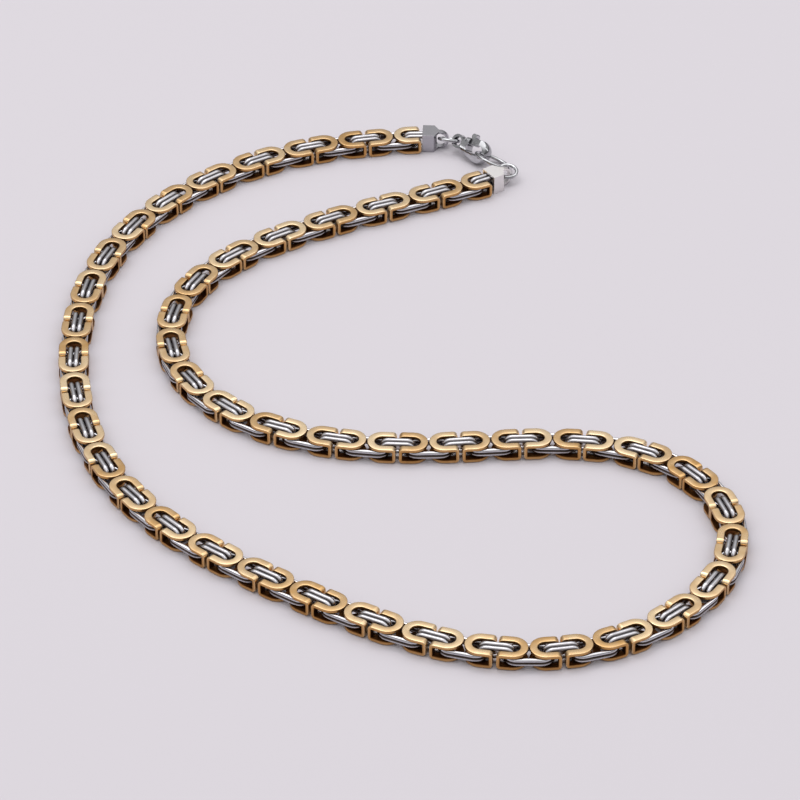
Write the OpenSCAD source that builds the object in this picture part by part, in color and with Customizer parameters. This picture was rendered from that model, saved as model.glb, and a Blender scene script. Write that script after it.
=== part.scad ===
// Two-tone flat byzantine necklace, lying in a loop and closed by its clasp.
// Each oval of the chain is two links folded from flat strip, fold to fold.
// A pair of upright rings runs through both links of an oval, and a pair of flat
// rings joins each oval to the next. Folded end caps carry the clasp and its rings.

/* [Folded links] */
// Width of the chain across its folded links
chain_w = 6; // [5.6:0.1:7]
// Length of a folded link, from its arch to its fold
link_len = 5.75; // [5.6:0.05:6.4]
// Thickness of the strip that a link is folded from
strip_t = 0.75; // [0.6:0.05:0.8]
// Width of the strip round the arch of a link
strip_w = 1.45; // [1.2:0.05:1.5]
// Outer radius of the fold
fold_r = 0.7; // [0.3:0.05:1]
// Gap between the two folds in the middle of an oval
fold_gap = 0.46; // [0.45:0.01:0.8]
// Gap between the arches of neighbouring ovals
waist_gap = 0.24; // [0.24:0.01:0.5]
// Share of each bend of the chain that the folds take, the rest being at the waists
fold_share = 0.2; // [0:0.05:0.2]

/* [Rings of the chain] */
// Diameter of the ring wire
wire_d = 0.85; // [0.6:0.05:0.9]
// Distance between the centres of the two upright wires of a pair
pair_w = 1.25; // [1.15:0.05:1.4]
// Gap between the end of an upright ring and the arch it passes through
arch_gap = 0.86; // [0.7:0.02:0.9]
// Gap between the end of a flat ring and the fold in front of it
fold_room = 0.17; // [0.15:0.01:0.3]
// How far a flat ring's side stays inside the side of the chain
side_inset = 0.4; // [0.3:0.05:0.6]
// How deep the two soldered wires of a flat ring run into each other
solder_depth = 0.05; // [0.02:0.01:0.1]
// Clear space between the rings and the plates of a link
ring_clear = 0.13; // [0.12:0.01:0.2]
// Largest sideways turn of an upright pair in its slot, in degrees
pair_sway = 1.8; // [0:0.1:2]

/* [End caps] */
// Length of an end cap
cap_len = 5.7; // [5.6:0.1:6]
// Width of an end cap
cap_w = 4.3; // [4.2:0.1:5]
// Thickness of its sheet
cap_t = 0.45; // [0.3:0.05:0.5]
// Length of its straight part, before it narrows
cap_box_len = 2.5; // [2:0.1:3]
// Width of the strap at its tip
cap_tip_w = 1.1; // [1:0.1:1.2]
// Where its side walls end and the eye of the tip begins
cap_wall_len = 3; // [2.8:0.1:3.1]
// Diameter of the bar that holds the last rings
cap_bar_d = 0.9; // [0.7:0.05:1]
// Gap between the nearest corner of a cap and the last fold
cap_gap = 0.16; // [0.15:0.01:0.3]
// How far the last upright rings sit back into their link
last_ring_back = 0.55; // [0.5:0.05:0.65]

/* [Clasp] */
// Length of the clasp, from the middle of its eye to its nose
clasp_len = 8.8; // [8.6:0.1:9.2]
// Radius of the nose of the clasp
nose_r = 2.6; // [2.5:0.1:2.8]
// Radius of the base of the clasp
base_r = 1.9; // [1.8:0.1:2.2]
// Thickness of the clasp in the middle
clasp_t = 2.7; // [2.5:0.1:2.9]
// Radius to which both faces of the clasp are domed
clasp_dome_r = 4.6; // [4.4:0.1:8]
// Width of the bow of the hook, seen from the face
bow_w = 1.2; // [1:0.05:1.3]
// Outer radius of the eye
eye_r = 1.55; // [1.45:0.05:1.6]
// Radius of the hole in the eye
eye_hole_r = 1; // [0.9:0.05:1]
// Thickness of the eye
eye_t = 1.2; // [1:0.1:1.4]
// Thickness of the lever
lever_t = 1.3; // [1.1:0.1:1.5]
// Radius of the lever's pivot pin
pin_r = 0.35; // [0.3:0.05:0.4]
// Running clearance of the lever on its pin
pin_clear = 0.05; // [0.03:0.01:0.08]
// Clearance of the lever in the clasp
lever_clear = 0.12; // [0.1:0.01:0.2]
// Roll of the clasp as it leans on its side, in degrees
clasp_roll = 55; // [40:1:60]

/* [Clasp rings] */
// Wire diameter of the rings at the clasp
jump_wire_d = 0.8; // [0.6:0.05:0.85]
// Centreline diameter of the ring between cap and clasp
clasp_ring_d = 4.4; // [4.2:0.1:5.2]
// Centreline diameter of the ring in the other cap
end_ring_d = 3.9; // [3.6:0.1:4.4]
// Clear space where two of these rings hook together
jump_gap = 0.15; // [0.12:0.01:0.3]

/* [Hidden] */
$fn = 48;

// Points that pull the route of the chain, from the clasp's cap round to the other cap
route = [
    [34, 88], [6, 88], [-21, 84], [-46, 67], [-62, 42], [-66, 8], [-61, -24], [-46, -50],
    [-20, -69], [6, -86], [33, -91], [57, -77], [69, -54], [60, -30], [36, -20], [3, -27],
    [-31, -19], [-49, 8], [-42, 37], [-17, 54], [2, 62], [20, 70], [39, 80]
];
// Steps of the smooth curve between two of those points
route_steps = 24;

// Angle that scatters the sideways turns of the upright pairs
sway_step = 137;

// Sizes across the chain
stack_h = 2 * wire_d - solder_depth;
inner_h = stack_h + 2 * ring_clear;
link_h = inner_h + 2 * strip_t;
upright_h = inner_h + 2 * wire_d;
slot_w = chain_w - 2 * strip_w;
mid_z = upright_h / 2;

// Sizes along the chain, from the waist between two ovals
pitch = 2 * link_len + fold_gap + waist_gap;
arch_x = waist_gap / 2;
fold_x = arch_x + link_len;
upright_x = arch_x + strip_w + arch_gap;
upright_len = pitch - 2 * upright_x;
flat_len = 2 * (fold_x - strip_t - fold_room);
flat_w = chain_w - 2 * side_inset;

// The smooth curve through the route, as points with their distance from its start
function pull(i, t) = (
    pow(1 - t, 3) * route[i]
    + (3 * pow(t, 3) - 6 * pow(t, 2) + 4) * route[i + 1]
    + (1 + 3 * t + 3 * pow(t, 2) - 3 * pow(t, 3)) * route[i + 2]
    + pow(t, 3) * route[i + 3]
) / 6;
last_span = len(route) - 4;
curve = [
    for (i = [0 : last_span]) for (j = [0 : route_steps - (i == last_span ? 0 : 1)]) pull(i, j / route_steps)
];
steps = [for (i = [1 : len(curve) - 1]) norm(curve[i] - curve[i - 1])];
function distances() = [for (i = 0, s = 0; i < len(curve); s = s + (i < len(steps) ? steps[i] : 0), i = i + 1) s];
walked = distances();
curve_x = [for (i = [0 : len(curve) - 1]) [walked[i], curve[i].x]];
curve_y = [for (i = [0 : len(curve) - 1]) [walked[i], curve[i].y]];
function at(s) = [lookup(s, curve_x), lookup(s, curve_y)];
function heading(p, q) = atan2(q.y - p.y, q.x - p.x);
function turn(a, b) = b - a - 360 * round((b - a) / 360);
function ahead(p, angle, reach) = p + reach * [cos(angle), sin(angle)];

// As many whole ovals as the route takes, with half an oval at each end
route_len = walked[len(walked) - 1];
waist_count = floor(route_len / pitch);
spacing = route_len / waist_count;
oval_count = waist_count - 1;
waists = [for (k = [0 : oval_count]) at((k + 0.5) * spacing)];
oval_dirs = [
    heading(at(0), waists[0]),
    for (k = [1 : oval_count]) heading(waists[k - 1], waists[k]),
    heading(waists[oval_count], at(route_len))
];
bends = [for (k = [0 : oval_count]) turn(oval_dirs[k], oval_dirs[k + 1])];
fold_bends = [
    0,
    for (k = [1 : oval_count]) fold_share * (bends[k - 1] + bends[k]) / 2,
    0
];
function link_before(k) = oval_dirs[k] + fold_bends[k] / 2;
function link_after(k) = oval_dirs[k + 1] - fold_bends[k + 1] / 2;
function fold_point(k) = ahead(waists[k - 1], link_after(k - 1), spacing / 2);

// Turns between the pieces of the closure, in degrees, as they lie
clasp_cap_turn = -8;
clasp_ring_turn = -20;
clasp_turn = -42;
ring_cap_turn = 8.5;
end_pair_turn = 4;
end_ring_turn = 25;
clasp_ring_tilt = -29;
end_ring_tilt = 8;
closing_ring_tilt = -32;
// Height of the clasp's middle, and the play of its rings
closure_z = 2.6;
eye_set = 0.34;
bow_play = 0.37;
link_play = 0.33;
ring_lift = 0.4;
// How far a cut runs past the face it cuts, and a hair that keeps two faces apart
over = 1;
hair = 0.01;

// The closure, from the clasp's cap through its rings to the other cap
first_dir = oval_dirs[0] + 180;
last_dir = oval_dirs[waist_count];
clasp_cap_dir = first_dir + clasp_cap_turn;
ring_cap_dir = last_dir + ring_cap_turn;
clasp_ring_dir = clasp_cap_dir + clasp_ring_turn;
clasp_dir = clasp_cap_dir + clasp_turn;
end_ring_dir = ring_cap_dir + end_ring_turn;
function cap_start(turned) = cap_gap + cap_w / 2 * sin(abs(turned)) - fold_gap / 2;
clasp_cap_point = ahead(at(0), first_dir, cap_start(clasp_cap_turn));
ring_cap_point = ahead(at(route_len), last_dir, cap_start(ring_cap_turn));
cap_h = upright_h + ring_clear + cap_t;
cap_eye_x = (cap_wall_len + cap_len - cap_t) / 2 - eye_set;
cap_eye_z = cap_h / 2;
cap_bar_x = upright_len / 2 - last_ring_back - cap_start(ring_cap_turn) - wire_d - ring_clear - cap_bar_d / 2;
cap_eye = ahead(clasp_cap_point, clasp_cap_dir, cap_eye_x);
clasp_eye = ahead(cap_eye, clasp_ring_dir, clasp_ring_d);
bow_x = clasp_len - bow_w - bow_play - jump_gap - jump_wire_d / 2;
bow_point = ahead(clasp_eye, clasp_dir, bow_x);
ring_eye = ahead(ring_cap_point, ring_cap_dir, cap_eye_x);
end_centre = ahead(ring_eye, end_ring_dir, end_ring_d / 2);
closing_dir = heading(bow_point, end_centre);
closing_ring_d = norm(end_centre - bow_point) - end_ring_d / 2 + jump_wire_d + jump_gap + link_play;

gold = "#d8ae6a";
steel = "#c4c4c8";

// A wire bent to a long ring with round ends, sized along its centreline
module wire_loop(length, width) {
    run = length - width;
    for (side = [-1, 1]) {
        translate([0, side * width / 2, 0])
            rotate([90, 0, 90])
                linear_extrude(run, center = true)
                    children();
        translate([side * run / 2, 0, 0])
            rotate(-90 * side)
                rotate_extrude(angle = 180)
                    translate([width / 2, 0])
                        children();
    }
}

// Side view of a folded link: two plates joined by the fold
module link_side() {
    difference() {
        union() {
            translate([arch_x, -link_h / 2])
                square([link_len - fold_r, link_h]);
            translate([arch_x, fold_r - link_h / 2])
                square([link_len, link_h - 2 * fold_r]);
            for (side = [-1, 1])
                translate([fold_x - fold_r, side * (link_h / 2 - fold_r)])
                    circle(r = fold_r);
        }
        translate([arch_x - over, -inner_h / 2])
            square([link_len + over - strip_t, inner_h]);
    }
}

// Plan of a folded link, or of the slot in it: a round arch and two straight arms
module arch_plan(width, reach) {
    translate([arch_x + chain_w / 2, 0]) {
        circle(d = width);
        translate([0, -width / 2])
            square([reach - chain_w / 2, width]);
    }
}

module folded_link() {
    difference() {
        intersection() {
            rotate([90, 0, 0])
                linear_extrude(chain_w, center = true)
                    link_side();
            linear_extrude(link_h, center = true)
                arch_plan(chain_w, link_len);
        }
        linear_extrude(link_h + over, center = true)
            arch_plan(slot_w, link_len + over);
    }
}

// Puts a piece on the route, at a point and a heading
module on_route(point, angle) {
    translate([point.x, point.y, mid_z])
        rotate(angle)
            children();
}

module folded_links() {
    color(gold)
        for (k = [0 : oval_count]) {
            on_route(waists[k], link_before(k) + 180)
                folded_link();
            on_route(waists[k], link_after(k))
                folded_link();
        }
}

module upright_ring() {
    rotate([90, 0, 0])
        wire_loop(upright_len - wire_d, upright_h - wire_d)
            circle(d = wire_d);
}

module upright_pair() {
    for (side = [-1, 1])
        translate([0, side * pair_w / 2, 0])
            upright_ring();
}

// The pairs of upright rings, each turned a little in its slot, as they fall
module upright_rings() {
    color(steel) {
        for (k = [1 : oval_count])
            on_route(fold_point(k), oval_dirs[k] + pair_sway * sin(sway_step * k))
                upright_pair();
        end_pair(at(0), first_dir, -end_pair_turn);
        end_pair(at(route_len), last_dir, end_pair_turn);
    }
}

// The pair at an end of the chain turns with its cap, about the arch it hangs in
module end_pair(point, angle, turned) {
    reach = upright_len / 2 - wire_d;
    on_route(ahead(point, angle, -last_ring_back - reach), angle + turned)
        translate([reach, 0, 0])
            upright_pair();
}

// Two wires soldered one on the other
module stacked_wires() {
    for (side = [-1, 1])
        translate([0, side * (wire_d - solder_depth) / 2])
            circle(d = wire_d);
}

module flat_rings() {
    color(steel)
        for (k = [0 : oval_count])
            on_route(waists[k], link_before(k) + turn(link_before(k), link_after(k)) / 2)
                wire_loop(flat_len - wire_d, flat_w - wire_d)
                    stacked_wires();
}

// Plan of an end cap: a box that narrows to a strap
cap_taper_end = cap_wall_len + 0.5;
module cap_plan(inset) {
    half = cap_w / 2 - inset;
    tip = cap_tip_w / 2;
    polygon([
        [0, -half], [cap_box_len, -half], [cap_taper_end, -tip], [cap_len, -tip],
        [cap_len, tip], [cap_taper_end, tip], [cap_box_len, half], [0, half]
    ]);
}

// Side view of the sheet of a cap: a plate that curls round the tip
module cap_side() {
    curl_r = cap_h / 2;
    difference() {
        union() {
            translate([0, curl_r])
                square([cap_len - curl_r, curl_r]);
            translate([cap_len - curl_r, curl_r])
                circle(r = curl_r);
        }
        translate([-over, curl_r])
            square([cap_len - curl_r + over, curl_r - cap_t]);
        translate([cap_len - curl_r, curl_r])
            circle(r = curl_r - cap_t);
        translate([-over, -over])
            square([cap_wall_len + over, curl_r + over]);
    }
}

module end_cap() {
    intersection() {
        rotate([90, 0, 0])
            linear_extrude(cap_w, center = true)
                cap_side();
        linear_extrude(cap_h)
            cap_plan(0);
    }
    linear_extrude(cap_h - cap_t / 2)
        intersection() {
            difference() {
                cap_plan(0);
                translate([-hair, 0])
                    cap_plan(cap_t);
                translate([cap_wall_len - over, -cap_tip_w / 2])
                    square([cap_len, cap_tip_w]);
            }
            translate([0, -cap_w / 2])
                square([cap_wall_len, cap_w]);
        }
    translate([cap_bar_x, 0, mid_z])
        rotate([90, 0, 0])
            cylinder(h = cap_w - cap_t, d = cap_bar_d, center = true);
}

module clasp_cap() {
    color(steel)
        translate(clasp_cap_point)
            rotate(clasp_cap_dir)
                end_cap();
}

module ring_cap() {
    color(steel)
        translate(ring_cap_point)
            rotate(ring_cap_dir)
                end_cap();
}

// A round ring that leads from a point to one side, turned about that line
module jump_ring(from, z_from, z_to, angle, diameter, tilt) {
    translate([from.x, from.y, z_from])
        rotate([0, -asin((z_to - z_from) / diameter), angle])
            rotate([tilt, 0, 0])
                translate([diameter / 2, 0, 0])
                    rotate_extrude()
                        translate([diameter / 2, 0])
                            circle(d = jump_wire_d);
}

module clasp_ring() {
    color(steel)
        jump_ring(cap_eye, cap_eye_z + ring_lift / 2, closure_z, clasp_ring_dir, clasp_ring_d, clasp_ring_tilt);
}

module end_ring() {
    color(steel)
        jump_ring(ring_eye, cap_eye_z, cap_eye_z + ring_lift, end_ring_dir, end_ring_d, end_ring_tilt);
}

module closing_ring() {
    color(steel)
        jump_ring(bow_point, closure_z, cap_eye_z + ring_lift, closing_dir, closing_ring_d, closing_ring_tilt);
}

// The clasp lies along X from its eye, with its lever on the +Y side
nose_x = clasp_len - nose_r;
base_x = 2.9;
pivot = [2.6, 1];
lever_reach = 3.3;
lever_inner_y = 0.7;
hub_r = 0.85;
pin_inset = 0.2;
// The lever's tab for the thumb, and where the slot for the lever opens right through
tab = [3.7, 2.55];
tab_r = 0.65;
mouth = [3.3, -1];
// How far the throat of the hook runs back, and how much narrower it is than the bow
throat_in = 0.6;
throat_less = 0.3;
// Angles, from the pivot, between which the lever swings: below the length, behind the upright
sweep_dip = 40;
sweep_lean = 6;

module egg_plan() {
    lean = asin((nose_r - base_r) / (nose_x - base_x));
    translate([base_x, 0])
        circle(r = base_r);
    translate([nose_x, 0])
        circle(r = nose_r);
    polygon([
        [base_x - base_r * sin(lean), base_r * cos(lean)],
        [nose_x - nose_r * sin(lean), nose_r * cos(lean)],
        [nose_x - nose_r * sin(lean), -nose_r * cos(lean)],
        [base_x - base_r * sin(lean), -base_r * cos(lean)]
    ]);
}

// The egg turned about its length, with both faces domed
module egg() {
    intersection() {
        rotate([0, 90, 0])
            rotate_extrude()
                rotate(90)
                    intersection() {
                        egg_plan();
                        translate([0, -2 * nose_r])
                            square([2 * clasp_len, 2 * nose_r]);
                    }
        dome(1);
        dome(-1);
    }
}

module dome(side) {
    translate([0, 0, side * (clasp_t / 2 - clasp_dome_r)])
        rotate([0, 90, 0])
            cylinder(h = clasp_len, r = clasp_dome_r);
}

// The opening of the hook
module bow_hole() {
    translate([nose_x, 0])
        circle(r = nose_r - bow_w);
    translate([base_x + base_r - throat_in, 0])
        circle(r = nose_r - bow_w - throat_less);
}

// The part of a circle round the pivot that the lever sweeps
module sweep(reach) {
    far = 2 * reach;
    intersection() {
        translate(pivot)
            circle(r = reach);
        translate(pivot)
            polygon([[0, 0], [far, -far * tan(sweep_dip)], [far, far], [-far * tan(sweep_lean), far]]);
    }
}

module clasp_body() {
    color(steel)
        in_clasp() {
            difference() {
                union() {
                    egg();
                    cylinder(h = eye_t, r = eye_r, center = true);
                }
                cylinder(h = eye_t + over, r = eye_hole_r, center = true);
                linear_extrude(clasp_t + over, center = true)
                    bow_hole();
                linear_extrude(clasp_t + over, center = true)
                    intersection() {
                        sweep(lever_reach + lever_clear);
                        translate(mouth)
                            square(clasp_len);
                    }
                linear_extrude(lever_t + 2 * lever_clear, center = true) {
                    sweep(lever_reach + lever_clear);
                    translate(pivot)
                        circle(r = hub_r + lever_clear);
                }
                translate(pivot)
                    cylinder(h = clasp_t + over, r = pin_r, center = true);
            }
        }
}

// The side of the hook that the lever closes
module lever_plan() {
    difference() {
        intersection() {
            egg_plan();
            sweep(lever_reach);
        }
        translate([0, -clasp_len + lever_inner_y])
            square(clasp_len);
        translate([nose_x, 0])
            circle(r = nose_r - bow_w);
    }
}

// The lever turns on its hub and has a tab for the thumb
module clasp_lever() {
    color(steel)
        in_clasp()
            difference() {
                union() {
                    linear_extrude(lever_t, center = true)
                        lever_plan();
                    translate(pivot)
                        cylinder(h = lever_t, r = hub_r, center = true);
                    translate(tab)
                        cylinder(h = lever_t, r = tab_r, center = true);
                }
                translate(pivot)
                    cylinder(h = lever_t + over, r = pin_r + pin_clear, center = true);
            }
}

module lever_pin() {
    color(steel)
        in_clasp()
            translate(pivot)
                cylinder(h = clasp_t - 2 * pin_inset, r = pin_r, center = true);
}

module in_clasp() {
    translate([clasp_eye.x, clasp_eye.y, closure_z])
        rotate([clasp_roll, 0, clasp_dir])
            children();
}

folded_links();
upright_rings();
flat_rings();
clasp_cap();
ring_cap();
clasp_ring();
end_ring();
closing_ring();
clasp_body();
clasp_lever();
lever_pin();
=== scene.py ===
# Looks for a two-tone byzantine necklace that lies in a loop on a pale table
import random
from math import atan2, cos, degrees, hypot, pi, radians, sin

import bmesh
import bpy
from mathutils import Matrix, Vector


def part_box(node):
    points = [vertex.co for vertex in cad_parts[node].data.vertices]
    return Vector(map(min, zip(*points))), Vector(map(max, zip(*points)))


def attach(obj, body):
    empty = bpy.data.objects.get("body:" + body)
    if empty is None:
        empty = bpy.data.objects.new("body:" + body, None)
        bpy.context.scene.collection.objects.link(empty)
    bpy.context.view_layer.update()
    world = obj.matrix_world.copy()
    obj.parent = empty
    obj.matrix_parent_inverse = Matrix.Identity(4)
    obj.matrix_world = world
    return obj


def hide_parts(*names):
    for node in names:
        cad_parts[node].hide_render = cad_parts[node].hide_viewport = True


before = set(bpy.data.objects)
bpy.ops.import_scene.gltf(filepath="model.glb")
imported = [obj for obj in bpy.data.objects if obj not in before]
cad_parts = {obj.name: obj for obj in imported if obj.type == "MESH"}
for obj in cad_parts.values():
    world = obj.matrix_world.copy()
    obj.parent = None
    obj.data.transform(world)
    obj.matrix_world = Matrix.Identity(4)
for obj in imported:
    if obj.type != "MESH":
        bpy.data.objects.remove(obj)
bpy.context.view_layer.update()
print("frame loaded:", len(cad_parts), "nodes")

mm = 0.001
mergeWithin = 0.002      # mm
random.seed(11)          # the same leans and tones each time

# How the chain lies, in mm: the points that pull its route, and its spacing
lay = {
    "pull": [
        (34, 88), (6, 88), (-21, 84), (-46, 67), (-62, 42), (-66, 8), (-61, -24), (-46, -50),
        (-20, -69), (6, -86), (33, -91), (57, -77), (69, -54), (60, -30), (36, -20), (3, -27),
        (-31, -19), (-49, 8), (-42, 37), (-17, 54), (2, 62), (20, 70), (39, 80),
    ],
    "stepsPerSpan": 24,
    "linkLength": 5.75,
    "foldGap": 0.46,
    "waistGap": 0.24,
    "foldShare": 0.2,        # share of a bend that the folds take
    "midHeight": 1.805,
    "pairSway": 1.8,         # degrees that a pair of upright rings turns in its slot
    "swayStep": 137,         # degrees between the sways of one pair and the next
    "endPairTurn": 4,        # degrees that a last pair turns towards its cap
    "lastRingBack": 0.55,    # how far the last rings end before the start of the cap
}


# A smooth curve, drawn along by the points but not through them
def pullAlong():
    pull, steps = lay["pull"], lay["stepsPerSpan"]
    spans, points = len(pull) - 3, []
    for i in range(spans):
        for j in range(steps + (1 if i == spans - 1 else 0)):
            t = j / steps
            weights = ((1 - t) ** 3, 3 * t**3 - 6 * t**2 + 4, 1 + 3 * t + 3 * t**2 - 3 * t**3, t**3)
            x = sum(w * pull[i + n][0] for n, w in enumerate(weights)) / 6
            y = sum(w * pull[i + n][1] for n, w in enumerate(weights)) / 6
            points.append((x, y))
    return points


routePoints = pullAlong()
walked = [0.0]
for here, there in zip(routePoints, routePoints[1:]):
    walked.append(walked[-1] + hypot(there[0] - here[0], there[1] - here[1]))


def pointAt(distance):
    for i in range(1, len(walked)):
        if distance <= walked[i] or i == len(walked) - 1:
            t = (distance - walked[i - 1]) / (walked[i] - walked[i - 1])
            return Vector(routePoints[i - 1]).lerp(Vector(routePoints[i]), min(t, 1))


def heading(start, end):
    return degrees(atan2(end[1] - start[1], end[0] - start[0]))


def turnBetween(a, b):
    return b - a - 360 * round((b - a) / 360)


def ahead(point, angle, reach):
    return point + reach * Vector((cos(radians(angle)), sin(radians(angle))))


# The waists between the ovals, and how each oval and each waist turns
pitch = 2 * lay["linkLength"] + lay["foldGap"] + lay["waistGap"]
waistCount = int(walked[-1] / pitch)
spacing = walked[-1] / waistCount
waists = [pointAt((k + 0.5) * spacing) for k in range(waistCount)]
startPoint, endPoint = pointAt(0), pointAt(walked[-1])
stations = [startPoint, *waists, endPoint]
ovalDirs = [heading(a, b) for a, b in zip(stations, stations[1:])]
bends = [turnBetween(a, b) for a, b in zip(ovalDirs, ovalDirs[1:])]
foldBends = [0, *[lay["foldShare"] * (a + b) / 2 for a, b in zip(bends, bends[1:])], 0]


def linkBefore(k):
    return ovalDirs[k] + foldBends[k] / 2


def linkAfter(k):
    return ovalDirs[k + 1] - foldBends[k + 1] / 2


# Where a piece goes, in mm, with a little lean as it fell
def placeAt(point, angle, lean=0, roll=0):
    return (
        Matrix.Translation((point[0], point[1], lay["midHeight"]))
        @ Matrix.Rotation(radians(angle), 4, "Z")
        @ Matrix.Rotation(radians(lean), 4, "Y")
        @ Matrix.Rotation(radians(roll), 4, "X")
    )


# Shader maths: a wrapped socket that takes Python's operators
class Signal:
    def __init__(self, finish, socket):
        self.finish, self.socket = finish, socket

    def maths(self, operation, *values):
        return self.finish.add("ShaderNodeMath", {"operation": operation}, dict(enumerate(values)))

    def __add__(self, other):
        return self.maths("ADD", self, other)

    def __sub__(self, other):
        return self.maths("SUBTRACT", self, other)

    def __rsub__(self, other):
        return self.maths("SUBTRACT", other, self)

    def __mul__(self, other):
        return self.maths("MULTIPLY", self, other)

    def __pow__(self, other):
        return self.maths("POWER", self, other)

    def __rpow__(self, other):
        return self.maths("POWER", other, self)

    __radd__ = __add__
    __rmul__ = __mul__

    def clamped(self, low=0, high=1):
        return self.maths("MAXIMUM", self.maths("MINIMUM", self, high), low)


# A material or a world under construction
class Finish:
    def __init__(self, made, shader="Principled BSDF"):
        made.use_nodes = True
        self.made, self.tree = made, made.node_tree
        self.shader = self.tree.nodes[shader]

    def add(self, kind, settings=None, inputs=None, output=0):
        node = self.tree.nodes.new(kind)
        for name, value in (settings or {}).items():
            if name == "stops":
                self.setStops(node.color_ramp, value)
            else:
                setattr(node, name, value)
        for name, value in (inputs or {}).items():
            self.feed(node.inputs[name], value)
        return Signal(self, node.outputs[output])

    def feed(self, socket, value):
        if isinstance(value, Signal):
            self.tree.links.new(value.socket, socket)
        else:
            socket.default_value = value

    def setStops(self, ramp, stops):
        while len(ramp.elements) < len(stops):
            ramp.elements.new(1)
        for element, (position, colour) in zip(ramp.elements, stops):
            element.position, element.color = position, (*colour, 1)

    def place(self, stretch=(1, 1, 1), turned=(0, 0, 0)):
        here = self.add("ShaderNodeTexCoord", output="Object")
        inputs = {"Vector": here, "Scale": stretch, "Rotation": turned}
        return self.add("ShaderNodeMapping", {}, inputs)

    def noise(self, perMetre, detail=2, place=None):
        inputs = {"Vector": place or self.place(), "Scale": perMetre, "Detail": detail}
        return self.add("ShaderNodeTexNoise", {}, inputs)

    def mixColour(self, share, colourA, colourB):
        settings = {"data_type": "RGBA"}
        return self.add("ShaderNodeMix", settings, {0: share, 6: colourA, 7: colourB}, output=2)

    def attribute(self, name):
        return self.add("ShaderNodeAttribute", {"attribute_name": name}, output="Fac")

    def bump(self, height, distance, strength):
        inputs = {"Height": height, "Distance": distance, "Strength": strength}
        return self.add("ShaderNodeBump", {}, inputs)

    # Settings of the main shader; an underscore stands for a space
    def surface(self, **values):
        for name, value in values.items():
            self.feed(self.shader.inputs[name.replace("_", " ")], value)
        return self.made


def newFinish(name):
    return Finish(bpy.data.materials.new(name))


# Finishes count clouds, grains and brush marks to the metre; depths are in metres
def metal(finish, colour, roughness, normal):
    return finish.surface(
        Base_Color=colour, Roughness=roughness.clamped(), Normal=normal, Metallic=1.0
    )


# Gold plate: satin flats, rims with a painted highlight and wear, walls in orange painted shade,
# brown painted shade in the recesses
def goldPlate():
    look = {
        "light": (0.84, 0.65, 0.42, 1),
        "deep": (0.51, 0.275, 0.085, 1),
        # orange painted shade on the walls, as of light bounced between the gold
        "wallShade": (0.63, 0.33, 0.105, 1),
        # the brown of the painted shade in the recesses
        "recess": (0.09, 0.028, 0.007, 1),
        # pale gold of the painted highlight on the rims
        "rim": (1.0, 0.82, 0.52, 1),
        "rimKeenness": 16,       # how close to its edge the painted highlight and the wear of a rim lie
        # how much of the painted highlight a rim takes
        "rimGlint": 0.4,
        "ownTone": 0.7,          # how much deeper one link is than another
        "patches": 0.9,          # and one patch than another
        "paleness": 0.4,
        "wallKeenness": 2,       # how soon a face in painted shade turns to the orange painted shade of the walls
        "brownShade": 0.75,           # how much of the brown painted shade a recess takes
        # how patchy the brown painted shade is
        "patchyShade": 0.4,
        "clouds": 420,
        "cloudDetail": 3,
        "grains": 6500,
        "brushMarks": 2600,
        "brushLength": (1, 0.12, 1),
        "brushTurn": (0, 0, 0.6),
        "worn": 0.2,             # roughness, and what each thing adds to it
        "wornByGrain": 0.1,
        "wornByCloud": 0.08,
        "wornByRim": -0.08,
        "wornByRecess": 0.2,
        "grainShare": 0.6,       # of the marks, the rest being brushed
        "markDepth": 0.00002,
        "marks": 0.3,
    }
    gold = newFinish("gold plate")
    tone = gold.attribute("tone")
    recess = gold.attribute("recess")
    rimGlintAndWear = gold.attribute("rim") ** look["rimKeenness"]
    cloud = gold.noise(look["clouds"], look["cloudDetail"])
    grain = gold.noise(look["grains"])
    along = gold.place(look["brushLength"], look["brushTurn"])
    brushed = gold.noise(look["brushMarks"], place=along)
    depth = (tone * look["ownTone"] + cloud * look["patches"] - look["paleness"]).clamped()
    # Painted shade: brown in the recesses, in patches
    brownShade = (recess**2 * (look["brownShade"] + look["patchyShade"] * cloud)).clamped()
    colour = gold.mixColour(depth, look["light"], look["deep"])
    # Painted highlight on the rims
    colour = gold.mixColour((rimGlintAndWear * look["rimGlint"]).clamped(), colour, look["rim"])
    # Painted shade: walls and inner faces turn orange
    colour = gold.mixColour((recess * look["wallKeenness"]).clamped(), colour, look["wallShade"])
    colour = gold.mixColour(brownShade, colour, look["recess"])
    roughness = look["worn"] + look["wornByGrain"] * grain + look["wornByCloud"] * cloud
    roughness += look["wornByRim"] * rimGlintAndWear + look["wornByRecess"] * recess
    marks = grain * look["grainShare"] + brushed * (1 - look["grainShare"])
    return metal(gold, colour, roughness, gold.bump(marks, look["markDepth"], look["marks"]))


# Polished steel: mirror bright, with faint draw marks, darkened by painted shade in the recesses
# and between the wires
polished = {
    # the colour of the painted shade
    "recess": (0.08, 0.055, 0.045, 1),
    "recessShare": 0.9,
    "patches": 1.3,
    "paleness": 0.4,
    "clouds": 500,
    "grains": 5200,
    "wornByGrain": 0.08,
    "wornByRecess": 0.3,
    "markDepth": 0.000002,
}


def polishedSteel(name, bright, dull, worn, marks):
    look, steel = polished, newFinish(name)
    recess = steel.attribute("recess")
    cloud = steel.noise(look["clouds"])
    grain = steel.noise(look["grains"])
    depth = (cloud * look["patches"] - look["paleness"]).clamped()
    colour = steel.mixColour(depth, bright, dull)
    # Painted shade where the mesh marks it
    colour = steel.mixColour((recess * look["recessShare"]).clamped(), colour, look["recess"])
    roughness = worn + look["wornByGrain"] * grain * cloud + look["wornByRecess"] * recess
    return metal(steel, colour, roughness, steel.bump(grain, look["markDepth"], marks))


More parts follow.
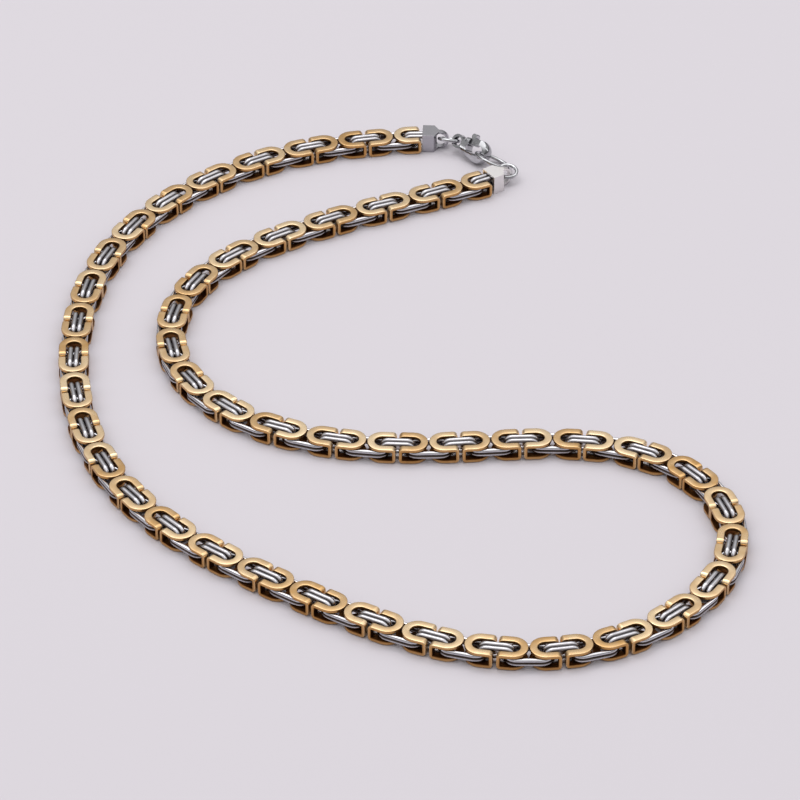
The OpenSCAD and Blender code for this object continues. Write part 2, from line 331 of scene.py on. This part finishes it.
# Pressed steel sheet of the caps: satin, brushed along its length
satin = {
    "clouds": 380,
    "cloudShare": 0.7,       # of the changes in colour, the rest being brushed
    "brushMarks": 7000,
    "brushLength": (0.1, 1, 1),
    "brushTurn": (0, 0, -0.5),
    "wornByBrush": 0.1,
    "wornByCloud": 0.06,
    "markDepth": 0.00001,
    "marks": 0.2,
}


def satinSteel(name, bright, dull, worn):
    look, sheet = satin, newFinish(name)
    cloud = sheet.noise(look["clouds"])
    along = sheet.place(look["brushLength"], look["brushTurn"])
    brushed = sheet.noise(look["brushMarks"], place=along)
    depth = (cloud * look["cloudShare"] + brushed * (1 - look["cloudShare"])).clamped()
    colour = sheet.mixColour(depth, bright, dull)
    roughness = worn + look["wornByBrush"] * brushed + look["wornByCloud"] * cloud
    return metal(sheet, colour, roughness, sheet.bump(brushed, look["markDepth"], look["marks"]))


goldFinish = goldPlate()
wireFinish = polishedSteel(
    "steel wire",
    bright=(0.68, 0.67, 0.70, 1), dull=(0.36, 0.35, 0.38, 1), worn=0.11, marks=0.03
)
joinerFinish = polishedSteel(
    "steel joiner wire",
    bright=(0.70, 0.69, 0.72, 1), dull=(0.42, 0.41, 0.44, 1), worn=0.14, marks=0.02
)
castFinish = polishedSteel(
    "cast steel",
    bright=(0.58, 0.58, 0.60, 1), dull=(0.08, 0.08, 0.09, 1), worn=0.08, marks=0.01
)
# The caps are one steel: the clasp's cap is painted darker, as painted shade, and the ring's cap
# paler, as painted light, for how each faces the light
sheetInPaintedShade = satinSteel(
    "steel sheet in painted shade",
    bright=(0.51, 0.50, 0.53, 1), dull=(0.35, 0.34, 0.37, 1), worn=0.15
)
# the same steel, painted paler as painted light
sheetInPaintedLight = satinSteel(
    "steel sheet in painted light",
    bright=(0.88, 0.85, 0.84, 1), dull=(0.74, 0.71, 0.71, 1), worn=0.3
)
print("finishes made")


# The edges that a sweep ends in, from which the next one starts
def openEnd(result, key="geom"):
    return [g for g in result[key] if isinstance(g, bmesh.types.BMEdge)]


def spinOn(bm, edges, centre, axis, angle, steps):
    ring = list({v for e in edges for v in e.verts})
    result = bmesh.ops.spin(
        bm, geom=edges + ring, cent=centre, axis=axis, angle=angle, steps=steps,
        use_duplicate=False,
    )
    return openEnd(result, "geom_last")


def drawOn(bm, edges, step):
    result = bmesh.ops.extrude_edge_only(bm, edges=edges)
    moved = [g for g in result["geom"] if isinstance(g, bmesh.types.BMVert)]
    bmesh.ops.translate(bm, verts=moved, vec=step)
    return openEnd(result)


def mergeAndFaceOut(bm, distance):
    bmesh.ops.remove_doubles(bm, verts=bm.verts, dist=distance)
    bmesh.ops.recalc_face_normals(bm, faces=bm.faces)


# A quarter of a loop becomes the whole, closed and facing out
def closeByMirrors(bm, axes):
    for axis in axes:
        everything = bm.verts[:] + bm.edges[:] + bm.faces[:]
        bmesh.ops.mirror(bm, geom=everything, matrix=Matrix(), merge_dist=mergeWithin, axis=axis)
    mergeAndFaceOut(bm, mergeWithin)


def asMesh(bm, name):
    mesh = bpy.data.meshes.new(name)
    bm.to_mesh(mesh)
    bm.free()
    return mesh


# Folded link, in mm: a loop of flat strip with two round arches, bent double at its fold
linkShape = {
    "chainWidth": 6,
    "stripThickness": 0.75,
    "stripWidth": 1.45,
    "innerHeight": 1.91,
    "foldRadius": 0.85,
    "rimRounding": 0.15,
    "wallShare": 0.98,       # from how far out a point of the strip is on its wall
    "crown": 0.05,           # how much lower the rims are than the middle of the strip
    "archSteps": 9,
    "foldSteps": 4,
    "lean": 0.7,             # degrees that a link leans either way
    "slotShade": (0.5, 1.0),  # how deep the painted shade is at the head and the foot of a wall, in the slot
    "sideShade": (0.3, 0.45),  # and the painted shade at the head and the foot of a wall at the side
}


def foldedLink():
    s = linkShape
    thick, wide, radius = s["stripThickness"], s["stripWidth"], s["foldRadius"]
    archX, topZ = lay["waistGap"] / 2, s["innerHeight"] / 2 + thick
    foldX, archCentre = archX + lay["linkLength"], archX + s["chainWidth"] / 2
    bm = bmesh.new()
    bmesh.ops.create_grid(bm, x_segments=1, y_segments=1, size=0.5)
    bmesh.ops.scale(bm, verts=bm.verts, vec=(wide, thick, 1))
    bmesh.ops.bevel(
        bm, geom=bm.verts[:], offset=s["rimRounding"], segments=2, profile=0.5,
        affect="VERTICES", material=-1,
    )
    broad = [e for e in bm.edges if e.calc_length() > wide / 2]
    bmesh.ops.subdivide_edges(bm, edges=broad, cuts=1)
    recess, rim = bm.verts.layers.float.new("recess"), bm.verts.layers.float.new("rim")
    # Each point's painted shade: none on the outer face, full on the inner face, and on the walls
    # as listed. The rim value says how far out a point lies, for the painted highlight and the wear
    for v in bm.verts:
        outward = abs(v.co.x) / (wide / 2)
        onOuterFace, onWall = v.co.y > 0, outward > s["wallShare"]
        if onOuterFace and not onWall:
            v.co.y -= s["crown"] * outward
        head, foot = s["slotShade"] if v.co.x > 0 else s["sideShade"]
        if not onWall:
            head, foot = 0.0, 1.0
        v[recess] = head if onOuterFace else foot
        v[rim] = outward if onOuterFace else 0.0
    bmesh.ops.delete(bm, geom=[e for e in bm.edges if not e.is_boundary], context="EDGES")
    bmesh.ops.rotate(bm, verts=bm.verts, cent=(0, 0, 0), matrix=Matrix.Rotation(pi / 2, 3, "X"))
    bmesh.ops.translate(bm, verts=bm.verts, vec=(archX + wide / 2, 0, topZ - thick / 2))
    end = spinOn(bm, bm.edges[:], (archCentre, 0, 0), (0, 0, 1), pi / 2, s["archSteps"])
    end = drawOn(bm, end, (foldX - radius - archCentre, 0, 0))
    end = spinOn(bm, end, (foldX - radius, 0, topZ - radius), (0, 1, 0), pi / 2, s["foldSteps"])
    drawOn(bm, end, (0, 0, radius - topZ))
    closeByMirrors(bm, "ZY")
    return asMesh(bm, "folded link")


# Wire ring, in mm: a long ring of round wire with round ends, lying flat
wireShape = {
    "diameter": 0.85,
    "sides": 12,
    "endSteps": 6,
    "uprightLength": 7.34,
    "uprightHeight": 3.61,
    "pairWidth": 1.25,
    "pressed": 1.24,         # how much wider than high the wire of an upright ring is
    "flatLength": 9.9,
    "flatWidth": 5.2,
    "solderDepth": 0.05,     # how deep two flat rings go into each other
    "seamShade": 1.9,         # how dark the painted shade is along the seam of a soldered pair
    "footShade": 0.6,         # and the painted shade at its foot
    "flankShade": 0.75,       # how dark the painted shade is on the flanks of an upright ring
    "lean": 0.5,             # degrees that an upright ring leans either way
}


# The shades say how dark the painted shade is on the upper and the lower side of the ring
def wireRing(name, length, width, shadeAbove, shadeBelow):
    s = wireShape
    radius, endRadius = s["diameter"] / 2, (width - s["diameter"]) / 2
    run = length - width
    bm = bmesh.new()
    bmesh.ops.create_circle(bm, cap_ends=False, radius=radius, segments=s["sides"])
    recess = bm.verts.layers.float.new("recess")
    for v in bm.verts:
        v[recess] = max(-v.co.x * shadeAbove, v.co.x * shadeBelow) / radius
    bmesh.ops.rotate(bm, verts=bm.verts, cent=(0, 0, 0), matrix=Matrix.Rotation(pi / 2, 3, "Y"))
    bmesh.ops.translate(bm, verts=bm.verts, vec=(0, endRadius, 0))
    end = drawOn(bm, bm.edges[:], (run / 2, 0, 0))
    spinOn(bm, end, (run / 2, 0, 0), (0, 0, 1), -pi / 2, s["endSteps"])
    closeByMirrors(bm, "YX")
    return asMesh(bm, name)


# Copies of a piece's shapes in one mesh, each with its own tone
def gather(name, placed):
    whole = bmesh.new()
    toneLayer = whole.verts.layers.float.new("tone")
    for shape, matrix in placed:
        copy = shape.copy()
        copy.transform(Matrix.Scale(mm, 4) @ matrix)
        before = len(whole.verts)
        whole.from_mesh(copy)
        whole.verts.ensure_lookup_table()
        tone = random.random()
        for i in range(before, len(whole.verts)):
            whole.verts[i][toneLayer] = tone
        bpy.data.meshes.remove(copy)
    return asMesh(whole, name)


def addObject(name, data):
    thing = bpy.data.objects.new(name, data)
    bpy.context.scene.collection.objects.link(thing)
    return thing


def makePiece(name, mesh, finish, slot, body, *nodes):
    piece = addObject(name, mesh)
    mesh.materials.clear()
    mesh.materials.append(finish)
    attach(piece, body)
    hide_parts(*nodes)


# Smooth shading; the higher the power, the more a vertex follows its larger faces
def shade(mesh, power=1):
    mesh.shade_smooth()
    normals = [Vector() for v in mesh.vertices]
    for face in mesh.polygons:
        for v in face.vertices:
            normals[v] += face.normal * (face.area / mm**2) ** power
    mesh.normals_split_custom_set_from_vertices([n.normalized() for n in normals])
    return mesh


def around(spread):
    return random.uniform(-spread, spread)


linkProto = foldedLink()
linkPlaces = []
for k, waist in enumerate(waists):
    for angle in (linkBefore(k) + 180, linkAfter(k)):
        lean, roll = around(linkShape["lean"]), around(linkShape["lean"])
        linkPlaces.append((linkProto, placeAt(waist, angle, lean, roll)))
linkMesh = shade(gather("gold links", linkPlaces), 2)
makePiece("gold_links", linkMesh, goldFinish, "gold", "necklace", "folded_links")
print("gold links:", len(linkPlaces))

flankShade = wireShape["flankShade"]
uprightProto = wireRing(
    "upright ring", wireShape["uprightLength"], wireShape["uprightHeight"], flankShade, flankShade
)
stoodUp = Matrix.Rotation(pi / 2, 4, "X")
uprightProto.transform(Matrix.Scale(wireShape["pressed"], 4, (0, 1, 0)) @ stoodUp)
uprightPlaces = []


def addPair(matrix):
    for side in (-1, 1):
        offset = Matrix.Translation((0, side * wireShape["pairWidth"] / 2, 0))
        nudge = Matrix.Rotation(radians(around(wireShape["lean"])), 4, "Z")
        uprightPlaces.append((uprightProto, matrix @ offset @ nudge))


# The last rings hang on the cross bar of a cap
def addEndPair(point, angle, turned):
    reach = wireShape["uprightLength"] / 2 - wireShape["diameter"]
    hung = ahead(point, angle, -lay["lastRingBack"] - reach)
    addPair(placeAt(hung, angle + turned) @ Matrix.Translation((reach, 0, 0)))


for k in range(1, waistCount):
    middle = ahead(waists[k - 1], linkAfter(k - 1), spacing / 2)
    sway = lay["pairSway"] * sin(radians(lay["swayStep"] * k))
    addPair(placeAt(middle, ovalDirs[k] + sway))
addEndPair(startPoint, ovalDirs[0] + 180, -lay["endPairTurn"])
addEndPair(endPoint, ovalDirs[-1], lay["endPairTurn"])
pairMesh = shade(gather("steel pairs", uprightPlaces))
makePiece("steel_pairs", pairMesh, wireFinish, "steel", "necklace", "upright_rings")
print("upright rings:", len(uprightPlaces))


def flatRing(name, shadeAbove, shadeBelow):
    return wireRing(name, wireShape["flatLength"], wireShape["flatWidth"], shadeAbove, shadeBelow)


# A soldered pair: painted shade along the seam, and under the lower ring
flatRings = {
    1: flatRing("flat ring above", 0, wireShape["seamShade"]),
    -1: flatRing("flat ring below", wireShape["seamShade"], wireShape["footShade"]),
}
flatPlaces = []
for k, waist in enumerate(waists):
    angle = linkBefore(k) + turnBetween(linkBefore(k), linkAfter(k)) / 2
    for side, ring in flatRings.items():
        lift = side * (wireShape["diameter"] - wireShape["solderDepth"]) / 2
        flatPlaces.append((ring, placeAt(waist, angle) @ Matrix.Translation((0, 0, lift))))
joinerMesh = shade(gather("steel joiners", flatPlaces))
makePiece("steel_joiners", joinerMesh, joinerFinish, "steel", "necklace", "flat_rings")
print("flat rings:", len(flatPlaces))


# Pressed and cast pieces: the CAD shape with its edges rounded off
faceAngles = {"flatWithin": 0.5, "sharpFrom": 28}  # degrees between two faces


def softened(node, rounding, steps):
    flatWithin, sharpFrom = radians(faceAngles["flatWithin"]), radians(faceAngles["sharpFrom"])
    bm = bmesh.new()
    bm.from_mesh(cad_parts[node].data)
    bmesh.ops.remove_doubles(bm, verts=bm.verts, dist=mergeWithin * mm)
    bmesh.ops.dissolve_limit(bm, angle_limit=flatWithin, verts=bm.verts, edges=bm.edges)
    sharp = [e for e in bm.edges if e.is_manifold and e.calc_face_angle(0) > sharpFrom]
    bmesh.ops.bevel(
        bm, geom=sharp, offset=rounding * mm, segments=steps, profile=0.5, affect="EDGES",
        material=-1, clamp_overlap=True,
    )
    bmesh.ops.recalc_face_normals(bm, faces=bm.faces)
    return asMesh(bm, node)


castPieces = {  # roundings in mm
    "clasp_cap": {"finish": sheetInPaintedShade, "rounding": 0.07, "steps": 2, "body": "necklace"},
    "ring_cap": {"finish": sheetInPaintedLight, "rounding": 0.07, "steps": 2, "body": "necklace"},
    "clasp_body": {"finish": castFinish, "rounding": 0.12, "steps": 3, "body": "necklace"},
    "clasp_lever": {"finish": castFinish, "rounding": 0.1, "steps": 2, "body": "lever"},
    "lever_pin": {"finish": castFinish, "rounding": 0.05, "steps": 2, "body": "necklace"},
}
for node, s in castPieces.items():
    mesh = shade(softened(node, s["rounding"], s["steps"]))
    makePiece("fine_" + node, mesh, s["finish"], "steel", s["body"], node)
print("caps and clasp rounded off")


# Jump rings: round wire, in mm, closed to a circle where the CAD ring lies
jumpWire = {"diameter": 0.8, "sides": 16, "steps": 40}


def jumpRing(node):
    spots = [v.co.copy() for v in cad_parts[node].data.vertices]
    low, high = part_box(node)
    centre = (low + high) / 2
    far = max(spots, key=lambda p: (p - centre).length)
    first = (far - centre).normalized()
    across = max(spots, key=lambda p: (p - centre).cross(first).length)
    normal = first.cross(across - centre).normalized()
    side = normal.cross(first)
    wireRadius = jumpWire["diameter"] * mm / 2
    radius = (far - centre).length - wireRadius
    bm = bmesh.new()
    bmesh.ops.create_circle(bm, cap_ends=False, radius=wireRadius, segments=jumpWire["sides"])
    bmesh.ops.rotate(bm, verts=bm.verts, cent=(0, 0, 0), matrix=Matrix.Rotation(pi / 2, 3, "X"))
    bmesh.ops.translate(bm, verts=bm.verts, vec=(radius, 0, 0))
    bmesh.ops.spin(
        bm, geom=bm.verts[:] + bm.edges[:], cent=(0, 0, 0), axis=(0, 0, 1), angle=2 * pi,
        steps=jumpWire["steps"], use_merge=True, use_duplicate=False,
    )
    mergeAndFaceOut(bm, mergeWithin * mm)
    turned = Matrix((first, side, normal)).transposed().to_4x4()
    bm.transform(Matrix.Translation(centre) @ turned)
    return asMesh(bm, node)


for node in ("clasp_ring", "end_ring", "closing_ring"):
    makePiece("fine_" + node, shade(jumpRing(node)), castFinish, "steel", "necklace", node)
print("jump rings made")

# Table, light and camera, in metres and watts
studio = {
    "tableSize": 6,
    "tableSquares": 8,
    "tableColour": (0.595, 0.562, 0.602, 1),
    "tableRoughness": 0.9,
    "levels": [(0.0, 0.06), (0.2, 0.13), (0.42, 0.26), (0.62, 0.33), (0.8, 0.9), (1.0, 1.0)],
    "strength": 2.0,
    "front": 0.75,           # how bright the front of the room is, next to its back
    "backGain": 0.8,         # how fast it brightens towards the back
    "softboxes": [
        {"name": "overhead", "at": (-0.1, 0.25, 0.85), "size": (0.5, 0.35), "power": 1.1},
        {"name": "left", "at": (-0.75, -0.1, 0.5), "size": (0.12, 0.9), "power": 0.8},
        {"name": "right", "at": (0.75, 0.1, 0.5), "size": (0.12, 0.8), "power": 0.6},
    ],
}


def aimAt(thing, place, target):
    thing.location = place
    thing.rotation_mode = "QUATERNION"
    thing.rotation_quaternion = (Vector(target) - Vector(place)).to_track_quat("-Z", "Y")


def layTable():
    bm = bmesh.new()
    squares, half = studio["tableSquares"], studio["tableSize"] / 2
    bmesh.ops.create_grid(bm, x_segments=squares, y_segments=squares, size=half)
    table = addObject("table", asMesh(bm, "table"))
    paint = newFinish("pale table")
    table.data.materials.append(
        paint.surface(Base_Color=studio["tableColour"], Roughness=studio["tableRoughness"])
    )


def addSoftbox(name, at, size, power):
    light = bpy.data.lights.new(name, "AREA")
    light.shape, light.energy = "RECTANGLE", power
    light.size, light.size_y = size
    aimAt(addObject(name, light), at, (0, 0, 0))


# The room: bright high up and behind, and dark low down, which draws the streaks on the steel
def lightRoom():
    world = bpy.data.worlds.new("studio")
    bpy.context.scene.world = world
    room = Finish(world, "Background")
    way = room.add("ShaderNodeTexCoord", output="Generated")
    depth = room.add("ShaderNodeSeparateXYZ", {}, {0: way}, output="Y")
    height = room.add("ShaderNodeSeparateXYZ", {}, {0: way}, output="Z")
    stops = [(position, (level,) * 3) for position, level in studio["levels"]]
    level = room.add("ShaderNodeValToRGB", {"stops": stops}, {"Fac": height})
    share = (depth * studio["backGain"] + studio["front"]).clamped(studio["front"])
    room.surface(Color=level, Strength=share * studio["strength"])


layTable()
lightRoom()
for box in studio["softboxes"]:
    addSoftbox(**box)

view = {  # in mm
    "from": (1.504, -737.92, 533.66),
    "aim": (1.504, -10.63, 3.5),
    "lens": 203.8,
    "sensor": 36,
    "nearest": 10,
    "farthest": 20000,
}
camera = addObject("camera", bpy.data.cameras.new("camera"))
camera.data.lens, camera.data.sensor_width = view["lens"], view["sensor"]
camera.data.clip_start, camera.data.clip_end = view["nearest"] * mm, view["farthest"] * mm
aimAt(camera, Vector(view["from"]) * mm, Vector(view["aim"]) * mm)
bpy.context.scene.camera = camera
bpy.context.scene.view_settings.view_transform = "Standard"
print("studio ready")
